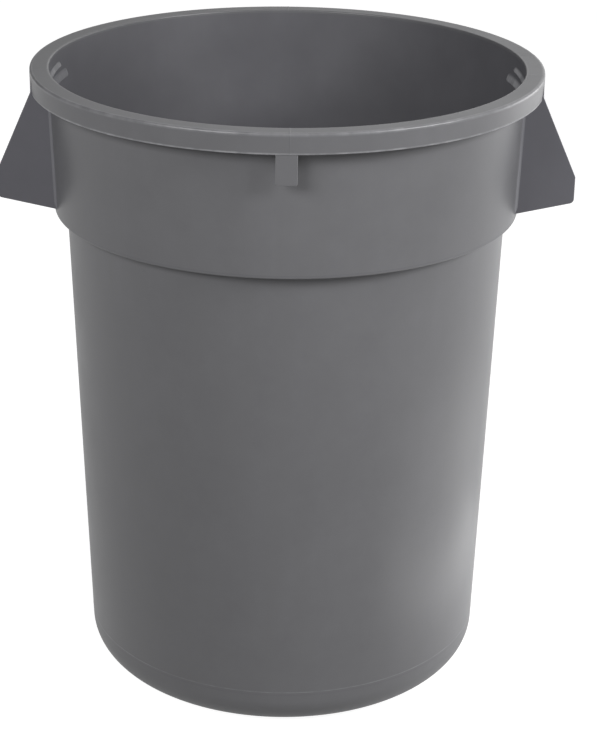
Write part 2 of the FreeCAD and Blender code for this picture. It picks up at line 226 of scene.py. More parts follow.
class PlasticFinish(bpy.types.PropertyGroup):
    """Colours and pattern sizes of the moulded plastic."""
    body: colour("Body", "The pigmented plastic", "#666668")
    light: colour("Light", "Streaks where the pigment is thin", "#747477")
    dark: colour("Dark", "Streaks where the pigment is dense", "#58585b")
    # Pale colour for worn edges and for the painted highlight on lit edges, ridges and beads
    worn: colour("Worn", "Edges that handling has whitened", "#a3a3a6")
    # Painted shade: a darker, faintly violet tint for the hand holds and the inside
    cast: colour("Cast", "Violet cast of the hand holds and, half as strong, of the inside", "#e5e4ec")
    mottle: length("Mottle", "Size of the soft clouds in the pigment", 70.0)
    streak: length("Streak", "Width of the flow streaks up the walls", 16.0)
    grain: length("Grain", "Size of the moulded surface grain", 0.9)


class StudioSettings(bpy.types.PropertyGroup):
    """Camera and light."""
    lens: FloatProperty(name="Lens", description="Focal length", default=94.66, unit="CAMERA")
    camera_height: length("Camera height", "Height of the camera above the ground", 1211)
    camera_distance: length("Camera distance", "Distance of the camera from the can's axis", 2082)
    tilt: angle("Tilt", "Angle of the view below the horizon", 23.02)
    pan: angle("Pan", "Angle of the view to the right of the can", 0.406)
    roll: angle("Roll", "Turn of the camera about its line of sight", 0.5855)
    floor: colour("Floor", "The pale floor", "#909090")
    ambient: FloatProperty(
        name="Ambient", description="Light from the room all round", default=0.04, min=0)


def drum_outer(height):
    """Outer radius of the drum's wall at a height."""
    return FOOT_OUTER_TOP + (height - FOOT_TOP) * LEAN


def band_outer(height):
    """Outer radius of the band's wall at a height."""
    return BAND_OUTER_FOOT + (height - LEDGE_TOP) * LEAN


def band_across(height, y):
    """How far to the side the band's wall stands at a height and a depth y: x = sqrt(r^2 - y^2)."""
    return np.sqrt(band_outer(height) ** 2 - y ** 2)


def wall_width(sizes):
    """Thickness of a leaning wall, measured level."""
    return sizes.wall * WALL_STRETCH


def unit(vectors):
    """Each vector of an array, made one long."""
    return vectors / np.linalg.norm(vectors, axis=-1, keepdims=True)


def smooth_step(value, low, high):
    """0 below low, 1 above high, and 3t^2 - 2t^3 of the share t between them."""
    share = np.clip((value - low) / (high - low), 0, 1)
    return share * share * (3 - 2 * share)


def arc_points(centre, start, end, turn, radius):
    """Points on a corner's arc: the two spokes mixed in the ratio sin((1-s)turn) to sin(s turn)."""
    if radius == 0:
        return start[None]
    step = 2 * math.acos(1 - min(ARC_SAG / radius, 0.5))
    count = max(LEAST_ARC_STEPS, math.ceil(turn / step))
    share = np.linspace(0, 1, count + 1)[:, None]
    spokes = np.sin((1 - share) * turn) * (start - centre) + np.sin(share * turn) * (end - centre)
    return centre + spokes / math.sin(turn)


def run_points(start, end):
    """Points between the ends of a straight run, evenly spaced between one near each end."""
    distance = np.linalg.norm(end - start)
    if distance < 3 * RUN_MARGIN:
        return np.empty((0, 2))
    near = RUN_MARGIN / distance
    share = np.linspace(near, 1 - near, max(2, math.ceil(distance / RUN_STEP)))
    return start + share[:, None] * (end - start)


def rounded_outline(corners):
    """Closed outline through (across, up, radius) corners, counter-clockwise, and its edge measure.

    Each corner becomes an arc of its radius about a centre on the corner's bisector, which meets
    both sides at radius / tan(half the corner's angle). The measure is 1 on small arcs, else 0.
    """
    corner, radius = np.split(np.array(corners, float), [2], axis=1)
    back = unit(np.roll(corner, 1, axis=0) - corner)
    ahead = unit(np.roll(corner, -1, axis=0) - corner)
    half = np.arccos(np.clip((back * ahead).sum(axis=1, keepdims=True), -1, 1)) / 2
    start = corner + back * radius / np.tan(half)
    end = corner + ahead * radius / np.tan(half)
    centre = corner + unit(back + ahead) * radius / np.sin(half)
    points, edge = [], []
    for i, following in enumerate(np.roll(start, -1, axis=0)):
        arc = arc_points(centre[i], start[i], end[i], math.pi - 2 * half[i, 0], radius[i, 0])
        run = run_points(end[i], following)
        points += [arc, run]
        edge += [np.full(len(arc), float(0 < radius[i, 0] < LARGEST_EDGE_RADIUS)), np.zeros(len(run))]
    points = np.concatenate(points)
    apart = np.linalg.norm(points - np.roll(points, 1, axis=0), axis=1) > LEAST_GAP
    return points[apart], np.concatenate(edge)[apart]


def miters(outline):
    """Inward vectors of a counter-clockwise outline that move both sides of a point in by one."""
    after = unit(np.roll(outline, -1, axis=0) - outline)
    left = np.stack([-after[:, 1], after[:, 0]], axis=1)
    before = np.roll(left, 1, axis=0)
    return (before + left) / (1 + (before * left).sum(axis=1, keepdims=True))


def ring_turns(seams=(), spread=0.0):
    """Angles about the axis, even all round, with closer ones across each seam."""
    even = np.linspace(0, 2 * math.pi, RING_STEPS, endpoint=False)
    across = np.linspace(-SEAM_REACH, SEAM_REACH, SEAM_STEPS) * spread
    close = np.add.outer(np.array(seams), across).ravel() % (2 * math.pi)
    return np.unique(np.concatenate([even, close]).round(TURN_DIGITS))


def turned(across, up, turns):
    """Surface of revolution: (r cos a, r sin a, z) for each turn a and each outline point (r, z)."""
    turns = turns[:, None]
    up = np.broadcast_to(up, np.broadcast(across, turns).shape)
    return np.stack([across * np.cos(turns), across * np.sin(turns), up], axis=-1)


def carried(outline, stations):
    """A flat outline of x and z carried straight across the can, to each y of the stations."""
    x, y = np.meshgrid(outline[:, 0], stations)
    return np.stack([x, y, np.broadcast_to(outline[:, 1], x.shape)], axis=-1)


def plate(outline, front, back, rounding):
    """Loops over a flat plate, from one face round the edge to the other, as (across, up, depth).

    Over an edge of radius r, as t goes from 0 to a right angle, the outline lies r(1 - sin t)
    inside and r(1 - cos t) below the face. The second result is the edge measure, sin 2t.
    """
    swing = np.linspace(0, math.pi / 2, EDGE_STEPS)
    ease = rounding * (1 - np.sin(swing))
    sink = rounding * (1 - np.cos(swing))
    flat = rounding + FACE_MARGIN
    inset = np.concatenate([[flat], ease, ease[::-1], [flat]])
    depth = np.concatenate([[front], front + sink, back - sink[::-1], [back]])
    edge = np.concatenate([[0], np.sin(2 * swing), np.sin(2 * swing[::-1]), [0]])
    loops = outline[None] + inset[:, None, None] * miters(outline)[None]
    depth = np.broadcast_to(depth[:, None, None], (*loops.shape[:2], 1))
    return np.concatenate([loops, depth], axis=-1), edge[:, None]


def skin(points, closed):
    """Quads over a grid of closed loops. Open ends of the grid are closed with a face each.

    The signed volume is the sum of p . (q x r) over the faces' triangles. Where it is negative
    the faces are turned over, so that they point outwards.
    """
    rows, columns = points.shape[:2]
    row = np.arange(rows if closed else rows - 1)[:, None]
    column = np.arange(columns)[None]
    next_row = (row + 1) % rows
    next_column = (column + 1) % columns
    quads = np.stack([
        row * columns + column, next_row * columns + column,
        next_row * columns + next_column, row * columns + next_column], axis=-1).reshape(-1, 4)
    flat = points.reshape(-1, 3) - points.reshape(-1, 3).mean(axis=0)
    corners = flat[quads]
    volume = (corners[:, 0] * np.cross(corners[:, 1], corners[:, 2])).sum()
    volume += (corners[:, 0] * np.cross(corners[:, 2], corners[:, 3])).sum()
    ends = [] if closed else [np.arange(columns), np.arange(columns * rows)[-columns:][::-1]]
    for end in ends:
        fan = flat[end]
        volume += (fan[0] * np.cross(fan[1:-1], fan[2:])).sum()
    faces = quads.tolist() + [end.tolist() for end in ends]
    return faces if volume > 0 else [face[::-1] for face in faces]


class Patch(NamedTuple):
    """A grid of points, and for each the shares of wear and painted highlight, of polish and of painted
    shade.

    Wear and painted highlight make the plastic paler, polish makes it glossier, and painted shade makes it
    darker and faintly violet.
    """
    points: np.ndarray
    wear: np.ndarray | float = 0.0
    polish: np.ndarray | float = 0.0
    cast: np.ndarray | float = 0.0


MEASURES = Patch._fields[1:]


def add_piece(name, patches, nodes, closed=False):
    """Make one piece of the can from its patches, in place of the frame's nodes.

    Each measure of the patches goes into an attribute of the piece.
    """
    faces, first = [], 0
    for patch in patches:
        faces += [[first + corner for corner in face] for face in skin(patch.points, closed)]
        first += patch.points.shape[0] * patch.points.shape[1]
    mesh = bpy.data.meshes.new(name)
    mesh.from_pydata(np.concatenate([patch.points.reshape(-1, 3) for patch in patches]), [], faces)
    for measure in MEASURES:
        shares = [
            np.broadcast_to(getattr(patch, measure), patch.points.shape[:2]).ravel() for patch in patches]
        attribute = mesh.attributes.new(measure, "FLOAT", "POINT")
        attribute.data.foreach_set("value", np.concatenate(shares).astype(np.float32))
    mesh.shade_smooth()
    mesh.set_sharp_from_angle(angle=SHARP_ANGLE)
    mesh.materials.append(moulded_polyethylene())
    piece = bpy.data.objects.new(name, mesh)
    bpy.context.scene.collection.objects.link(piece)
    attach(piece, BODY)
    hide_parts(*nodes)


def add_ring(name, corners, nodes, bulge=None, wear=0.0):
    """A piece that is turned all round the axis from an outline, with a bulge in its radius.

    Its small roundings take the wear and painted highlight, and the faces that look inwards or up take the
    inside's painted shade.
    """
    outline, edge = rounded_outline(corners)
    turns = ring_turns()
    across = outline[None, :, 0]
    if bulge is not None:
        across = across + bulge(turns[:, None], outline[None, :, 1])
    inward = miters(outline)
    inside = (inward[:, 0] > 0) | (inward[:, 1] < -FACES_UP)
    patch = Patch(turned(across, outline[:, 1], turns), wear=wear * edge, cast=INSIDE_PAINTED_SHADE * inside)
    add_piece(name, [patch], nodes, closed=True)


# Waves round a warped wall: share of the warp, number round the can, phase, and twist over the height
WARP_WAVES = ((0.5, 3, 2.1, 2.0), (0.3, 5, -0.7, -3.0), (0.2, 8, 0.0, 4.0))


def wall_warp(amount, low, high):
    """Waviness of a wall between two stiff rings: three waves round it that fade out at both rings."""
    def bulge(turn, height):
        share = np.clip((height - low) / (high - low), 0, 1)
        waves = sum(
            part * np.sin(count * turn + phase + twist * share) for part, count, phase, twist in WARP_WAVES)
        return amount * waves * np.sin(math.pi * share) ** 2
    return bulge


def add_node(tree, kind, inputs, output=0, **settings):
    """Add a shader node, fill its inputs with values or links, and give back one of its outputs."""
    node = tree.nodes.new(f"ShaderNode{kind}")
    for name, value in settings.items():
        setattr(node, name, value)
    for name, value in inputs.items():
        if isinstance(value, bpy.types.NodeSocket):
            tree.links.new(value, node.inputs[name])
        else:
            node.inputs[name].default_value = value
    return node.outputs[output] if node.outputs else None


# Places of the colour sockets on a Mix node
MIX_FACTOR, MIX_A, MIX_B, MIX_COLOUR = 0, 6, 7, 2


def opaque(rgb):
    """A colour with full alpha."""
    return (*rgb, 1.0)


def empty_tree(owner):
    """The emptied node tree of a material or a world."""
    owner.use_nodes = True
    owner.node_tree.nodes.clear()
    return owner.node_tree


# The plastic's noise patterns: their detail, and how far the streaks are drawn out up the wall
CLOUD_DETAIL = 5.0
CLOUD_ROUGHNESS = 0.65
STREAK_DETAIL = 4.0
STREAK_SCALE = (1, 1, 0.06)
GRAIN_DETAIL = 2.0

# Wear and painted highlight show least where the streaks are weak, and in full where they are strong
STREAKS_WORN_AND_LIT = (0.4, 0.65)
LEAST_WEAR_AND_HIGHLIGHT = 0.35

# Roughness of the satin skin over the middle of the clouds, and the share of it that polish leaves
CLOUD_MIDDLE = (0.3, 0.7)
SATIN = (0.37, 0.44)
POLISHED = 0.78

# Polyethylene's refraction and reflection, and the relief of its grain
REFRACTION = 1.51
REFLECTION = 0.45
GRAIN_DEPTH = 0.05 * MM
GRAIN_STRENGTH = 0.12


def moulded_polyethylene():
    """Grey pigmented polyethylene, as it comes out of a polished steel mould.

    The eye sees a satin skin with a broad, soft highlight, faint clouds in the pigment and
    streaks up the wall where the melt flowed, a fine grain, paler plastic on worn edges and a
    painted highlight on edges, ridges and beads where light catches them, a gloss on polished
    ones, and painted shade with a faint violet tint on the inside and on the hand holds. The
    grain is drawn coarser than a mould's real grit of about 0.2 mm, which would not show.
    """
    name = "moulded_polyethylene"
    if name in bpy.data.materials:
        return bpy.data.materials[name]
    finish = bpy.context.scene.can_finish
    material = bpy.data.materials.new(name)
    tree = empty_tree(material)
    place = add_node(tree, "TexCoord", {}, "Object")
    up_wall = add_node(tree, "Mapping", {"Vector": place, "Scale": STREAK_SCALE})
    clouds = add_node(tree, "TexNoise", {
        "Vector": place, "Scale": 1 / finish.mottle, "Detail": CLOUD_DETAIL, "Roughness": CLOUD_ROUGHNESS})
    streaks = add_node(tree, "TexNoise", {
        "Vector": up_wall, "Scale": 1 / finish.streak, "Detail": STREAK_DETAIL})
    grain = add_node(tree, "TexNoise", {
        "Vector": place, "Scale": 1 / finish.grain, "Detail": GRAIN_DETAIL})
    wear, polish, cast = (
        add_node(tree, "Attribute", {}, "Fac", attribute_name=measure) for measure in MEASURES)
    # Wear and painted highlight, broken into flecks along the streaks
    patches = add_node(tree, "MapRange", {
        "Value": streaks, "From Min": STREAKS_WORN_AND_LIT[0], "From Max": STREAKS_WORN_AND_LIT[1], "To Min": LEAST_WEAR_AND_HIGHLIGHT})
    worn = add_node(tree, "Math", {0: wear, 1: patches}, operation="MULTIPLY")
    skin_colour = opaque(finish.dark)
    # The skin: clouds, streaks, the painted shade of the inside and hand holds, then the pale wear and
    # painted highlight
    for blend, factor, over in (
            ("MIX", clouds, finish.light),
            ("MIX", streaks, finish.body),
            ("MULTIPLY", cast, finish.cast),
            ("MIX", worn, finish.worn)):
        skin_colour = add_node(
            tree, "Mix", {MIX_FACTOR: factor, MIX_A: skin_colour, MIX_B: opaque(over)}, MIX_COLOUR,
            data_type="RGBA", blend_type=blend)
    satin = add_node(tree, "MapRange", {
        "Value": clouds, "From Min": CLOUD_MIDDLE[0], "From Max": CLOUD_MIDDLE[1],
        "To Min": SATIN[0], "To Max": SATIN[1]})
    smoothed = add_node(tree, "MapRange", {"Value": polish, "To Min": 1.0, "To Max": POLISHED})
    gloss = add_node(tree, "Math", {0: satin, 1: smoothed}, operation="MULTIPLY")
    bump = add_node(tree, "Bump", {
        "Height": grain, "Strength": GRAIN_STRENGTH, "Distance": GRAIN_DEPTH})
    shader = add_node(tree, "BsdfPrincipled", {
        "Base Color": skin_colour, "Roughness": gloss, "Normal": bump,
        "IOR": REFRACTION, "Specular IOR Level": REFLECTION})
    add_node(tree, "OutputMaterial", {"Surface": shader})
    return material


# Turns of the mould's parting lines on the rim: at the front and rear, and by each hand hold
FRONT_SEAM_OFFSET = 3 * MM
SIDE_SEAM_TURN = math.radians(9.5)
MIDDLE_SEAMS = (FRONT + FRONT_SEAM_OFFSET / RIM_RADIUS, REAR)
SIDE_SEAMS = (SIDE_SEAM_TURN, -SIDE_SEAM_TURN, math.pi + SIDE_SEAM_TURN, math.pi - SIDE_SEAM_TURN)

# How far an outward miter points up or outwards where a parting line shows
SEAM_FACING = 0.5


class CAN_OT_rim(bpy.types.Operator):
    """Build the rim, with a flat top, a hanging skirt and the mould's parting lines"""
    bl_idname = "trash_can.rim"
    bl_label = "Rim"

    def execute(self, context):
        sizes = context.scene.can_shell
        skirt_inner = RIM_RADIUS - sizes.rim_wall
        outer = RIM_RADIUS - sizes.seam_height
        top = RIM_TOP - sizes.seam_height
        mouth = BAND_OUTER_TOP - wall_width(sizes)
        outline, edge = rounded_outline([
            (mouth, CAP_UNDERSIDE, 0),
            (skirt_inner, CAP_UNDERSIDE, sizes.channel_fillet),
            (skirt_inner, SKIRT_BOTTOM, sizes.skirt_edge),
            (outer, SKIRT_BOTTOM, sizes.skirt_edge),
            (outer, top, sizes.rim_edge),
            (mouth + (top - CAP_UNDERSIDE) * LEAN, top, sizes.mouth_edge),
        ])
        seams = np.array(MIDDLE_SEAMS + SIDE_SEAMS)
        turns = ring_turns(seams, sizes.seam_width / RIM_RADIUS)
        apart = (turns[:, None] - seams + math.pi) % (2 * math.pi) - math.pi
        ridges = np.exp(-(apart * RIM_RADIUS / sizes.seam_width) ** 2)
        ridge = ridges.sum(axis=1)[:, None]
        side_ridge = ridges[:, len(MIDDLE_SEAMS):].sum(axis=1)[:, None]
        outward = -miters(outline)
        outside = outline[:, 0] > skirt_inner
        on_top = outward[:, 1] > SEAM_FACING
        shown = (outward[:, 0] > SEAM_FACING) & outside | on_top
        rise = sizes.seam_height * ridge * shown
        across = outline[None, :, 0] + rise * np.clip(outward[None, :, 0], -1, 1)
        up = outline[None, :, 1] + rise * np.clip(outward[None, :, 1], -1, 1)
        low = outline[:, 1] < CAP_UNDERSIDE - sizes.channel_fillet
        # Wear on the skirt's lower edge, and a painted highlight on the rim's outer top edge and along the
        # parting lines
        edge_wear_and_highlight = edge * np.where(low, SKIRT_WEAR, RIM_HIGHLIGHT * outside)
        seam_highlight = np.maximum(SEAM_HIGHLIGHT * ridge * on_top, SIDE_SEAM_HIGHLIGHT * side_ridge * shown)
        wear = np.maximum(edge_wear_and_highlight, seam_highlight)
        patch = Patch(turned(across, up, turns), wear=wear, polish=edge * ~low)
        add_piece("rim_finish", [patch], ["rim"], closed=True)
        return {"FINISHED"}


class CAN_OT_gussets(bpy.types.Operator):
    """Build the gussets inside the rim's channel, on its front and rear halves"""
    bl_idname = "trash_can.gussets"
    bl_label = "Rim Gussets"

    def execute(self, context):
        sizes = context.scene.can_shell
        skirt_inner = RIM_RADIUS - sizes.rim_wall
        seat = sizes.plate_edge
        outline, _ = rounded_outline([
            (band_outer(GUSSET_BOTTOM) - seat, GUSSET_BOTTOM, 0),
            (skirt_inner + seat, GUSSET_BOTTOM, 0),
            (skirt_inner + seat, CAP_UNDERSIDE + seat, 0),
            (BAND_OUTER_TOP - seat, CAP_UNDERSIDE + seat, 0),
        ])
        start = math.asin((-WEB_OUTSIDE + sizes.gusset_gap) / skirt_inner)
        for name, first in (("rear", start), ("front", start + math.pi)):
            turns = first + np.linspace(0, math.pi - 2 * start, sizes.gusset_count)
            add_fins(f"rim_gussets_{name}", outline, sizes.gusset_thickness, turns, sizes.plate_edge)
        return {"FINISHED"}


def add_fins(node, outline, thickness, turns, rounding):
    """Upright plates that stand along radii: depth goes across the radius at each turn."""
    loops, edge = plate(outline, -thickness / 2, thickness / 2, rounding)
    radius, height, depth = np.moveaxis(loops, -1, 0)
    patches = [Patch(np.stack([
        radius * math.cos(turn) - depth * math.sin(turn),
        radius * math.sin(turn) + depth * math.cos(turn), height], axis=-1), polish=edge) for turn in turns]
    add_piece(f"{node}_finish", patches, [node])


class CAN_OT_lid_tabs(bpy.types.Operator):
    """Build the lid tabs that hang from the skirt at the front and the rear"""
    bl_idname = "trash_can.lid_tabs"
    bl_label = "Lid Tabs"

    def execute(self, context):
        sizes = context.scene.can_shell
        top = SKIRT_BOTTOM + 2 * sizes.skirt_edge
        outline, _ = rounded_outline([
            (-TAB_HALF_WIDTH, TAB_BOTTOM, sizes.tab_corner),
            (TAB_HALF_WIDTH, TAB_BOTTOM, sizes.tab_corner),
            (TAB_HALF_WIDTH, top, 0),
            (-TAB_HALF_WIDTH, top, 0),
        ])
        loops, edge = plate(outline, 0, sizes.tab_thickness, sizes.plate_edge)
        arc, height, depth = np.moveaxis(loops, -1, 0)
        for node, middle in (("front_lid_tab", FRONT), ("rear_lid_tab", REAR)):
            turn = middle + arc / TAB_RADIUS
            radius = TAB_RADIUS - depth
            points = np.stack([radius * np.cos(turn), radius * np.sin(turn), height], axis=-1)
            # Painted highlight on the tab's rounded edges
            add_piece(f"{node}_finish", [Patch(points, wear=TAB_HIGHLIGHT * edge, polish=edge)], [node])
        return {"FINISHED"}


class CAN_OT_walls(bpy.types.Operator):
    """Build the upper band and the drum's wall, with their slight warp and the mould's lower line"""
    bl_idname = "trash_can.walls"
    bl_label = "Band and Drum"

    def execute(self, context):
        sizes = context.scene.can_shell
        width = wall_width(sizes)
        add_ring("upper_band_finish", [
            (BAND_OUTER_FOOT - width, LEDGE_TOP, 0),
            (BAND_OUTER_FOOT, LEDGE_TOP, 0),
            (BAND_OUTER_TOP, CAP_UNDERSIDE, 0),
            (BAND_OUTER_TOP - width, CAP_UNDERSIDE, 0),
        ], ["upper_band"], wall_warp(sizes.warp, LEDGE_TOP, CAP_UNDERSIDE))
        line = FOOT_TOP + sizes.foot_line_rise
        line_low = line - sizes.foot_line_width
        line_high = line + sizes.foot_line_width
        crest = sizes.foot_line_height
        # The mould line near the foot carries a painted highlight
        add_ring("drum_wall_finish", [
            (FOOT_OUTER_TOP - width, FOOT_TOP, 0),
            (FOOT_OUTER_TOP, FOOT_TOP, 0),
            (drum_outer(line_low), line_low, 0),
            (drum_outer(line) + crest, line, crest),
            (drum_outer(line_high), line_high, 0),
            (DRUM_OUTER_TOP, LEDGE_BOTTOM, 0),
            (DRUM_OUTER_TOP - width, LEDGE_BOTTOM, 0),
        ], ["drum_wall"], wall_warp(sizes.warp, FOOT_TOP, LEDGE_BOTTOM), LINE_HIGHLIGHT)
        return {"FINISHED"}


# How far the ledge's seats go past its fillets' corners, in radii of the fillets
FILLET_REACH = 1.2


class CAN_OT_ledge(bpy.types.Operator):
    """Build the step between the drum and the band, with its rounded edge and its fillets"""
    bl_idname = "trash_can.ledge"
    bl_label = "Step Ledge"

    def execute(self, context):
        sizes = context.scene.can_shell
        width = wall_width(sizes)
        fillet = sizes.ledge_fillet
        seat = SEAT_DEPTH * sizes.wall
        below = LEDGE_BOTTOM - FILLET_REACH * fillet
        above = LEDGE_TOP + FILLET_REACH * fillet
        thickness = LEDGE_TOP - LEDGE_BOTTOM
        add_ring("step_ledge_finish", [
            (DRUM_OUTER_TOP - width, LEDGE_BOTTOM, 0),
            (DRUM_OUTER_TOP - seat, LEDGE_BOTTOM, 0),
            (drum_outer(below) - seat, below, 0),
            (DRUM_OUTER_TOP, LEDGE_BOTTOM, fillet),
            (band_outer(LEDGE_BOTTOM), LEDGE_BOTTOM, sizes.ledge_edge),
            (BAND_OUTER_FOOT, LEDGE_TOP, 0),
            (BAND_OUTER_FOOT - width + seat, LEDGE_TOP, 0),
            (band_outer(above) - width + seat, above, 0),
            (BAND_OUTER_FOOT - width, LEDGE_TOP, fillet),
            (DRUM_OUTER_TOP - width + thickness * LEAN, LEDGE_TOP, sizes.ledge_edge),
        ], ["step_ledge"])
        return {"FINISHED"}


class CAN_OT_foot(bpy.types.Operator):
    """Build the foot: the rounded corner, the tread and the riser"""
    bl_idname = "trash_can.foot"
    bl_label = "Foot Ring"

    def execute(self, context):
        sizes = context.scene.can_shell
        width = wall_width(sizes)
        add_ring("foot_ring_finish", [
            (RIB_REACH, 0, sizes.tread_edge),
            (drum_outer(0), 0, sizes.base_corner),
            (FOOT_OUTER_TOP, FOOT_TOP, 0),
            (FOOT_OUTER_TOP - width, FOOT_TOP, 0),
            (drum_outer(sizes.wall) - width, sizes.wall, sizes.base_corner - sizes.wall),
            (FLOOR_RADIUS, sizes.wall, sizes.tread_edge),
            (FLOOR_RADIUS, FLOOR_RISE, 0),
            (RIB_REACH, FLOOR_RISE, 0),
        ], ["foot_ring"])
        return {"FINISHED"}


# The gate mark, in radii of its recess: walls of the recess and its stub, and where the circles lie
RECESS_WALL = (0.85, 1.0)
STUB_WALL = (0.25, 0.35)
GATE_CIRCLES = (0.1, 1.6)
PLAIN_FLOOR = 1.8

# Height of the gate's stub, in depths of its recess
STUB_HEIGHT = 1.6


class CAN_OT_floor(bpy.types.Operator):
    """Build the floor with its moulding gate, and the ring and ribs that stiffen it"""
    bl_idname = "trash_can.floor"
    bl_label = "Floor and Stiffeners"

    def execute(self, context):
        sizes = context.scene.can_shell
        self.add_floor(sizes)
        add_ring("floor_ring_finish", [
            (FLOOR_RING_RADIUS - sizes.wall, FLOOR_RING_BOTTOM, sizes.plate_edge),
            (FLOOR_RING_RADIUS, FLOOR_RING_BOTTOM, sizes.plate_edge),
            (FLOOR_RING_RADIUS, FLOOR_RISE, 0),
            (FLOOR_RING_RADIUS - sizes.wall, FLOOR_RISE, 0),
        ], ["floor_ring"])
        seat = sizes.plate_edge
        ribs, _ = rounded_outline([
            (FLOOR_RING_RADIUS - seat, RIB_BOTTOM, 0),
            (RIB_REACH + seat, RIB_BOTTOM, 0),
            (RIB_REACH + seat, FLOOR_RISE + seat, 0),
            (FLOOR_RING_RADIUS - seat, FLOOR_RISE + seat, 0),
        ])
        turns = np.linspace(0, 2 * math.pi, sizes.rib_count, endpoint=False)
        add_fins("floor_ribs", ribs, sizes.rib_thickness, turns, sizes.plate_edge)
        return {"FINISHED"}

    def add_floor(self, sizes):
        """A disc of circles: the underside dips at the gate and the top rises by dome (1 - s^2)."""
        gate = sizes.gate_radius
        radius = np.concatenate([
            np.linspace(*GATE_CIRCLES, FLOOR_CIRCLES) * gate,
            np.linspace(PLAIN_FLOOR * gate, FLOOR_RADIUS - sizes.tread_edge, FLOOR_CIRCLES)])
        recess = 1 - smooth_step(radius / gate, *RECESS_WALL)
        stub = 1 - smooth_step(radius / gate, *STUB_WALL)
        under = FLOOR_RISE + sizes.gate_depth * (recess - STUB_HEIGHT * stub)
        over = FLOOR_TOP + sizes.floor_dome * (1 - (radius / FLOOR_RADIUS) ** 2)
        swing = np.linspace(0, math.pi / 2, EDGE_STEPS)
        side = [[FLOOR_RADIUS, FLOOR_RISE], [FLOOR_RADIUS, FLOOR_TOP - sizes.tread_edge]]
        corner = np.array([FLOOR_RADIUS, FLOOR_TOP]) - sizes.tread_edge * np.stack(
            [1 - np.cos(swing), 1 - np.sin(swing)], axis=1)
        path = np.concatenate([
            np.stack([radius, under], axis=1), side, corner[1:-1],
            np.stack([radius, over], axis=1)[::-1]])
        turns = np.linspace(0, 2 * math.pi, RING_STEPS, endpoint=False)
        points = turned(path[None, :, 0], path[:, 1], turns).swapaxes(0, 1)
        # Painted shade over the floor, as on the inside
        add_piece("base_floor_finish", [Patch(points, cast=INSIDE_PAINTED_SHADE)], ["base_floor"])


def lip_top(sizes):
    """Height of the knee between a hand hold's slope and its lip."""
    return LIP_BOTTOM + sizes.lip_height


def slope_run(sizes):
    """How far a hand hold's slope goes outwards for each unit that it goes down."""
    return (LIP_OUTSIDE - RIM_RADIUS + sizes.top_inset) / (SKIRT_BOTTOM - lip_top(sizes))


def slope_across(sizes, height):
    """How far to the side a hand hold's slope stands at a height."""
    return LIP_OUTSIDE - (height - lip_top(sizes)) * slope_run(sizes)


def grip_corner():
    """Height at which a web's lower edge, drawn on as a tangent of the grip, meets the lip's line."""
    radius = LIP_BOTTOM - GRIP_BOTTOM
    foot = band_across(WEB_FOOT, WEB_OUTSIDE)
    across = LIP_OUTSIDE - radius - foot
    rise = LIP_BOTTOM - WEB_FOOT
    slope = math.atan2(rise, across) - math.asin(radius / math.hypot(across, rise))
    return WEB_FOOT + (LIP_OUTSIDE - foot) * math.tan(slope)


# Share of a root's fade that would lie below the web's foot, so that the fillet never quite ends
FADE_BELOW = 0.25


class CAN_OT_handle_webs(bpy.types.Operator):
    """Build the flat webs at the sides of the hand holds, filleted into the band"""
    bl_idname = "trash_can.handle_webs"
    bl_label = "Hand Hold Webs"

    def execute(self, context):
        shell = context.scene.can_shell
        sizes = context.scene.can_handle
        seat = SEAT_DEPTH * shell.wall
        outline, _ = rounded_outline([
            (band_across(WEB_FOOT, WEB_OUTSIDE) - seat, WEB_FOOT, 0),
            (LIP_OUTSIDE, grip_corner(), LIP_BOTTOM - GRIP_BOTTOM),
            (LIP_OUTSIDE, lip_top(sizes), sizes.knee),
            (slope_across(sizes, CAP_UNDERSIDE), CAP_UNDERSIDE, 0),
            (band_across(CAP_UNDERSIDE, WEB_OUTSIDE) - seat, CAP_UNDERSIDE, 0),
        ])
        loops, edge = plate(outline, WEB_OUTSIDE, WEB_INSIDE, shell.plate_edge)
        x, height, y = np.moveaxis(loops, -1, 0)
        # Painted highlight on the webs' edges and root fillets, and painted shade all over them
        patches = [
            Patch(np.stack([x, y, height], axis=-1), wear=WEB_HIGHLIGHT * edge, polish=edge, cast=HOLD_PAINTED_SHADE),
            Patch(self.root_points(sizes, WEB_OUTSIDE, -1), wear=ROOT_HIGHLIGHT, cast=HOLD_PAINTED_SHADE),
            Patch(self.root_points(sizes, WEB_INSIDE, 1), wear=ROOT_HIGHLIGHT, cast=HOLD_PAINTED_SHADE),
        ]
        for side, sign in SIDES.items():
            for name, facing in (("front_web", 1), ("rear_web", -1)):
                node = f"{side}_handle_{name}"
                placed = [patch._replace(points=patch.points * (sign, facing, 1)) for patch in patches]
                add_piece(f"{node}_finish", placed, [node])
        return {"FINISHED"}

    def root_points(self, sizes, face, away):
        """A fillet between the band and one face of a web, level by level.

        At each height it is an arc of radius f about (sqrt((r + f)^2 - c^2), c), with r the band's
        radius and c = face + away f. The arc touches both surfaces, and the loop is closed behind
        it inside the plastic. Near the web's foot the fillet runs out with a smooth step.
        """
        height = np.linspace(WEB_FOOT, CAP_UNDERSIDE, ROOT_LEVELS)[:, None]
        run_out = smooth_step(
            height, WEB_FOOT - FADE_BELOW * sizes.root_fade, WEB_FOOT + sizes.root_fade)
        fillet = sizes.root_fillet * run_out
        depth = face + away * fillet
        across = np.sqrt((band_outer(height) + fillet) ** 2 - depth ** 2)
        start = np.arctan2(-away * depth, -across)
        swing = start + (-math.pi / 2 - start) % (2 * math.pi) * np.linspace(0, 1, ROOT_ARC_STEPS)
        x = across + fillet * np.cos(swing)
        y = depth + away * fillet * np.sin(swing)
        behind_x = band_across(height, face) - BACK_DEPTH * sizes.wall
        behind_y = np.full_like(height, face - away * BACK_DEPTH * sizes.wall)
        x = np.concatenate([x, behind_x], axis=1)
        y = np.concatenate([y, behind_y], axis=1)
        return np.stack([x, y, np.broadcast_to(height, x.shape)], axis=-1)


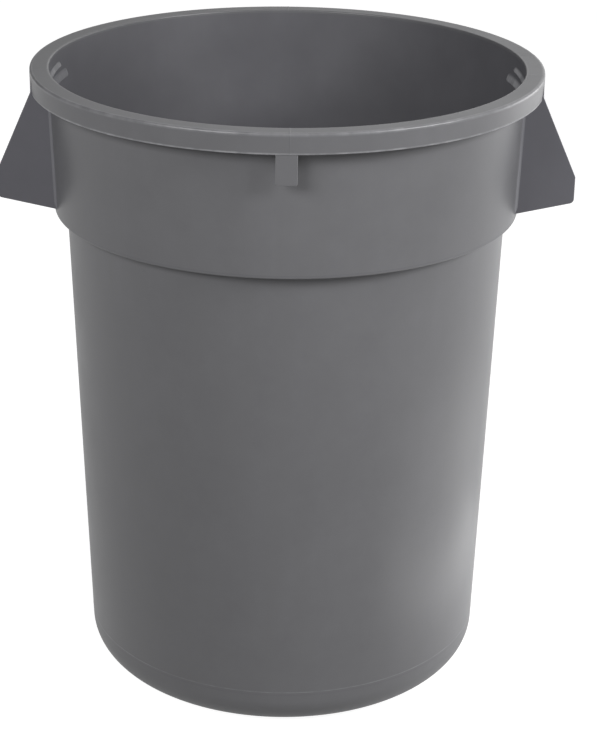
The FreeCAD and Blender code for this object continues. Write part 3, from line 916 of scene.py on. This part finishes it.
class CAN_OT_handle_panels(bpy.types.Operator):
    """Build the sloped panels of the hand holds and the rounded grips under them"""
    bl_idname = "trash_can.handle_panels"
    bl_label = "Hand Hold Panels and Grips"

    def execute(self, context):
        shell = context.scene.can_shell
        sizes = context.scene.can_handle
        seat = SEAT_DEPTH * shell.wall
        lip_inner = LIP_OUTSIDE - sizes.wall
        knee = lip_top(sizes)
        slope = math.atan(slope_run(sizes))
        inner_top = slope_across(sizes, SKIRT_BOTTOM) - sizes.wall / math.cos(slope)
        panel = [
            (lip_inner, LIP_BOTTOM, 0),
            (LIP_OUTSIDE, LIP_BOTTOM, 0),
            (LIP_OUTSIDE, knee, sizes.knee),
            (slope_across(sizes, SKIRT_BOTTOM), SKIRT_BOTTOM, 0),
            (RIM_RADIUS, SKIRT_BOTTOM + seat, 0),
            (RIM_RADIUS, CAP_UNDERSIDE, 0),
            (inner_top, CAP_UNDERSIDE, 0),
            (inner_top, SKIRT_BOTTOM, 0),
            (lip_inner, knee - sizes.wall * math.tan(slope / 2), sizes.knee),
        ]
        radius = LIP_BOTTOM - GRIP_BOTTOM
        grip = [
            (GRIP_TAIL, GRIP_BOTTOM, sizes.grip_edge),
            (LIP_OUTSIDE, GRIP_BOTTOM, radius),
            (LIP_OUTSIDE, LIP_BOTTOM, 0),
            (lip_inner, LIP_BOTTOM, 0),
            (lip_inner, GRIP_BOTTOM + sizes.wall, radius - sizes.wall),
            (GRIP_TAIL, GRIP_BOTTOM + sizes.wall, sizes.grip_edge),
        ]
        stations = np.linspace(WEB_INSIDE - seat, seat - WEB_INSIDE, PANEL_STATIONS)
        for side, sign in SIDES.items():
            for name, corners in (("panel", panel), ("grip", grip)):
                outline, _ = rounded_outline(corners)
                points = carried(outline, stations)
                self.keep_under_rim(points, shell, inner_top, sizes)
                node = f"{side}_handle_{name}"
                # Painted shade over the panels and grips
                add_piece(f"{node}_finish", [Patch(points * (sign, 1, 1), cast=HOLD_PAINTED_SHADE)], [node])
        return {"FINISHED"}

    def keep_under_rim(self, points, shell, inner_top, sizes):
        """Above the skirt's lower edge, squeeze x so that it ends in the skirt or else on the slope."""
        x, y, height = np.moveaxis(points, -1, 0)
        in_skirt = np.sqrt((RIM_RADIUS - 2 * shell.seam_height) ** 2 - y ** 2)
        outermost = np.maximum(in_skirt, slope_across(sizes, height))
        squeezed = inner_top + (x - inner_top) * (outermost - inner_top) / (RIM_RADIUS - inner_top)
        points[..., 0] = np.where(height > SKIRT_BOTTOM, squeezed, x)


# A bead's section, in shares of its height from the top: its crest, and where the fall starts
BEAD_CREST = 0.78
BEAD_FALL = 0.72

# How far a bead's rise bows out, and the share of its last stretch at which it ends
BEAD_BOW = 0.15
BEAD_TIP = 0.98


class CAN_OT_beads(bpy.types.Operator):
    """Build the stiffening beads on the inside of the band behind each hand hold"""
    bl_idname = "trash_can.beads"
    bl_label = "Stiffening Beads"

    def execute(self, context):
        sizes = context.scene.can_shell
        for side, sign in SIDES.items():
            for name in ("upper_bead", "lower_bead"):
                node = f"{side}_{name}"
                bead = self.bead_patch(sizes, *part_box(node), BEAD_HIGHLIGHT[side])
                add_piece(f"{node}_finish", [bead._replace(points=bead.points * (sign, 1, 1))], [node])
        return {"FINISHED"}

    def bead_patch(self, sizes, low, high, wear):
        """A ridge along the wall that rises evenly from its upper side and drops at its lower side.

        With t and u the shares of the rise and of the fall, and b the bow, the relief is the lesser
        of (1 + b)t - bt^2 and 1 - u^2. At its ends the ridge narrows and sinks by sqrt(1 - e^2),
        with e the share of the last stretch. Its back lies in the wall.
        """
        half_length = (high.y - low.y) / 2
        half_height = (high.z - low.z) / 2
        along = np.sin(np.linspace(-math.pi / 2, math.pi / 2, BEAD_STATIONS))[:, None] * half_length
        gone = np.clip((np.abs(along) - half_length + sizes.bead_end) / sizes.bead_end, 0, BEAD_TIP)
        taper = np.sqrt(1 - gone ** 2)
        share = np.concatenate([
            np.linspace(0, 1, BEAD_FACE_STEPS), np.linspace(1, 0, BEAD_BACK_STEPS)])[None]
        ridge = np.concatenate([np.ones(BEAD_FACE_STEPS), np.zeros(BEAD_BACK_STEPS)])[None]
        up = share / BEAD_CREST
        fall = np.clip((share - BEAD_FALL) / (1 - BEAD_FALL), 0, 1)
        bowed = (1 + BEAD_BOW) * up - BEAD_BOW * up ** 2
        rise = sizes.bead_relief * np.minimum(bowed, 1 - fall ** 2) * taper
        sunk = -BACK_DEPTH * sizes.wall
        height = (high.z + low.z) / 2 + (1 - 2 * share) * half_height * taper
        radius = band_outer(height) - wall_width(sizes) - np.where(ridge > 0, rise, sunk)
        turn = along / BAND_OUTER_TOP
        points = np.stack([radius * np.cos(turn), radius * np.sin(turn), height], axis=-1)
        # Painted highlight on the bead's rise, and the inside's painted shade
        worn = wear * ridge * smooth_step(rise, 0, sizes.bead_relief / 2)
        return Patch(points, wear=worn, cast=INSIDE_PAINTED_SHADE)


class Softbox(NamedTuple):
    """A soft lamp aimed at the can, in degrees from the front to the right and up, metres and watts."""
    name: str
    bearing: float
    elevation: float
    distance: float
    width: float
    height: float
    power: float


SOFTBOXES = (
    Softbox("right_softbox", 118, 6, 2.2, 1.4, 0.9, 13.0),
    Softbox("low_right_softbox", 86, -28, 0.68, 0.60, 0.16, 0.22),
    Softbox("foot_right_softbox", 80, -44, 0.53, 0.50, 0.08, 0.17),
    Softbox("front_right_softbox", 57, 31, 2.0, 0.9, 0.6, 29.5),
    Softbox("front_left_softbox", -36, 31, 2.0, 0.9, 0.6, 20.5),
)
AIM = Vector((0, 0, 0.40))
FLOOR_HALF_SIZE = 8.0
FLOOR_LINES = 9
WHITE = (1, 1, 1, 1)

# Distances from the axis over which the floor's white, and its mirror image with its painted shadow of the
# can, rise from their least to 1
LIFT_REACH = (0.3, 0.9)
LEAST_LIFT = 0.95
SHADE_REACH = (0.18, 0.28)
LEAST_SHADE = 0.5

# Where the mirror images of the floor and the room turn grey towards the left, and their least there
FLOOR_GREYING = (-0.5, 0.2, 0.8)
ROOM_GREYING = (-0.35, 0.15, 0.22)


class CAN_OT_studio(bpy.types.Operator):
    """Set up the pale floor, the white surroundings, the softboxes and the camera"""
    bl_idname = "trash_can.studio"
    bl_label = "Studio"

    def execute(self, context):
        settings = context.scene.can_studio
        self.add_floor(context, settings)
        self.add_surroundings(context, settings)
        for softbox in SOFTBOXES:
            self.add_softbox(context, softbox)
        self.add_camera(context, settings)
        context.scene.view_settings.view_transform = "Standard"
        return {"FINISHED"}

    def add_floor(self, context, settings):
        """A level square grid of points about the can."""
        line = np.linspace(-FLOOR_HALF_SIZE, FLOOR_HALF_SIZE, FLOOR_LINES)
        x, y = np.meshgrid(line, line)
        points = np.stack([x, y, np.zeros_like(x)], axis=-1).reshape(-1, 3)
        corner = np.arange(x.size).reshape(x.shape)
        faces = np.stack([corner[:-1, :-1], corner[:-1, 1:], corner[1:, 1:], corner[1:, :-1]], axis=-1)
        mesh = bpy.data.meshes.new("studio_floor")
        mesh.from_pydata(points, [], faces.reshape(-1, 4).tolist())
        mesh.materials.append(self.painted_floor(settings))
        floor = bpy.data.objects.new("studio_floor", mesh)
        context.scene.collection.objects.link(floor)

    def sideways(self, tree, place, left, right, lowest):
        """Rises from its lowest to 1 as the x of a place goes from left to right."""
        across = add_node(tree, "SeparateXYZ", {"Vector": place})
        return add_node(tree, "MapRange", {
            "Value": across, "From Min": left, "From Max": right, "To Min": lowest},
            interpolation_type="SMOOTHSTEP")

    def whiteness(self, tree, mirrored):
        """Strength of white: 1 for the eye, directly or through a clear piece, mirrored in a gloss."""
        camera, clear, glossy = (
            add_node(tree, "LightPath", {}, ray)
            for ray in ("Is Camera Ray", "Is Transmission Ray", "Is Glossy Ray"))
        reflected = add_node(tree, "Math", {0: glossy, 1: mirrored}, operation="MULTIPLY")
        direct = add_node(tree, "Math", {0: camera, 1: clear}, operation="MAXIMUM")
        return add_node(tree, "Math", {0: reflected, 1: direct}, operation="MAXIMUM")

    def painted_floor(self, settings):
        """Matt pale paint, lifted to white for the eye, with the can's shadow left on it.

        Mirrored in the can it carries a painted shadow by the can's foot and is greyer to the left.
        Its back is clear, so that the can's underside can be looked at.
        """
        material = bpy.data.materials.new("matt_white_paint")
        tree = empty_tree(material)
        paint = add_node(tree, "BsdfDiffuse", {"Color": opaque(settings.floor)})
        place = add_node(tree, "TexCoord", {}, "Object")
        away = add_node(tree, "VectorMath", {0: place}, "Value", operation="LENGTH")
        lift, shade = (
            add_node(tree, "MapRange", {
                "Value": away, "From Min": near, "From Max": far, "To Min": least},
                interpolation_type="SMOOTHSTEP")
            for (near, far), least in ((LIFT_REACH, LEAST_LIFT), (SHADE_REACH, LEAST_SHADE)))
        greying = self.sideways(tree, place, *FLOOR_GREYING)
        mirrored = add_node(tree, "Math", {0: shade, 1: greying}, operation="MULTIPLY")
        white = self.whiteness(tree, mirrored)
        strength = add_node(tree, "Math", {0: lift, 1: white}, operation="MULTIPLY")
        glow = add_node(tree, "Emission", {"Color": WHITE, "Strength": strength})
        seen = add_node(tree, "AddShader", {0: paint, 1: glow})
        clear = add_node(tree, "BsdfTransparent", {})
        behind = add_node(tree, "NewGeometry", {}, "Backfacing")
        both = add_node(tree, "MixShader", {0: behind, 1: seen, 2: clear})
        add_node(tree, "OutputMaterial", {"Surface": both})
        return material

    def add_surroundings(self, context, settings):
        """White for the eye, dim as a source of light, and greyer to the left in reflections."""
        world = bpy.data.worlds.new("white_studio")
        tree = empty_tree(world)
        heading = add_node(tree, "TexCoord", {}, "Generated")
        white = self.whiteness(tree, self.sideways(tree, heading, *ROOM_GREYING))
        strength = add_node(tree, "Math", {0: white, 1: settings.ambient}, operation="MAXIMUM")
        room = add_node(tree, "Background", {"Color": WHITE, "Strength": strength})
        add_node(tree, "OutputWorld", {"Surface": room})
        context.scene.world = world

    def add_softbox(self, context, softbox):
        """A rectangular lamp that faces the can."""
        lamp = bpy.data.lights.new(softbox.name, "AREA")
        lamp.shape = "RECTANGLE"
        lamp.size = softbox.width
        lamp.size_y = softbox.height
        lamp.energy = softbox.power
        bearing = math.radians(softbox.bearing)
        elevation = math.radians(softbox.elevation)
        level = math.cos(elevation)
        towards = Vector((math.sin(bearing) * level, -math.cos(bearing) * level, math.sin(elevation)))
        stand = bpy.data.objects.new(softbox.name, lamp)
        stand.location = AIM + towards * softbox.distance
        stand.rotation_euler = (-towards).to_track_quat("-Z", "Y").to_euler()
        stand.visible_camera = False
        context.scene.collection.objects.link(stand)

    def add_camera(self, context, settings):
        """The camera looks along +Y, tilted down, then turned a little aside and rolled."""
        lens = bpy.data.cameras.new("camera")
        lens.lens = settings.lens
        camera = bpy.data.objects.new("camera", lens)
        turn = Matrix.Rotation(math.pi / 2 - settings.tilt, 4, "X")
        turn = turn @ Matrix.Rotation(-settings.pan, 4, "Y") @ Matrix.Rotation(settings.roll, 4, "Z")
        place = Vector((0, -settings.camera_distance, settings.camera_height))
        camera.matrix_world = Matrix.Translation(place) @ turn
        context.scene.collection.objects.link(camera)
        context.scene.camera = camera


GROUPS = {
    "can_shell": ShellSizes,
    "can_handle": HandleSizes,
    "can_finish": PlasticFinish,
    "can_studio": StudioSettings,
}
OPERATORS = (
    CAN_OT_rim,
    CAN_OT_gussets,
    CAN_OT_lid_tabs,
    CAN_OT_walls,
    CAN_OT_ledge,
    CAN_OT_foot,
    CAN_OT_floor,
    CAN_OT_handle_webs,
    CAN_OT_handle_panels,
    CAN_OT_beads,
    CAN_OT_studio,
)


class CAN_PT_builder(bpy.types.Panel):
    """Sidebar panel with the can's sizes and finishes and a button for each group of pieces"""
    bl_idname = "CAN_PT_builder"
    bl_label = "Trash Can"
    bl_space_type = "VIEW_3D"
    bl_region_type = "UI"
    bl_category = "Trash Can"

    def draw(self, context):
        for group, kind in GROUPS.items():
            box = self.layout.box()
            for name in kind.__annotations__:
                box.prop(getattr(context.scene, group), name)
        for operator in OPERATORS:
            self.layout.operator(operator.bl_idname)


def register():
    """Register the classes and give the scene its groups of properties."""
    for kind in (*GROUPS.values(), *OPERATORS, CAN_PT_builder):
        bpy.utils.register_class(kind)
    for name, kind in GROUPS.items():
        setattr(bpy.types.Scene, name, PointerProperty(type=kind))


def unregister():
    """Take back what register made."""
    for name in GROUPS:
        delattr(bpy.types.Scene, name)
    for kind in reversed((*GROUPS.values(), *OPERATORS, CAN_PT_builder)):
        bpy.utils.unregister_class(kind)


def main():
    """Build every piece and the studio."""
    register()
    for operator in OPERATORS:
        getattr(bpy.ops.trash_can, operator.bl_idname.split(".")[1])()


if __name__ == "__main__":
    main()
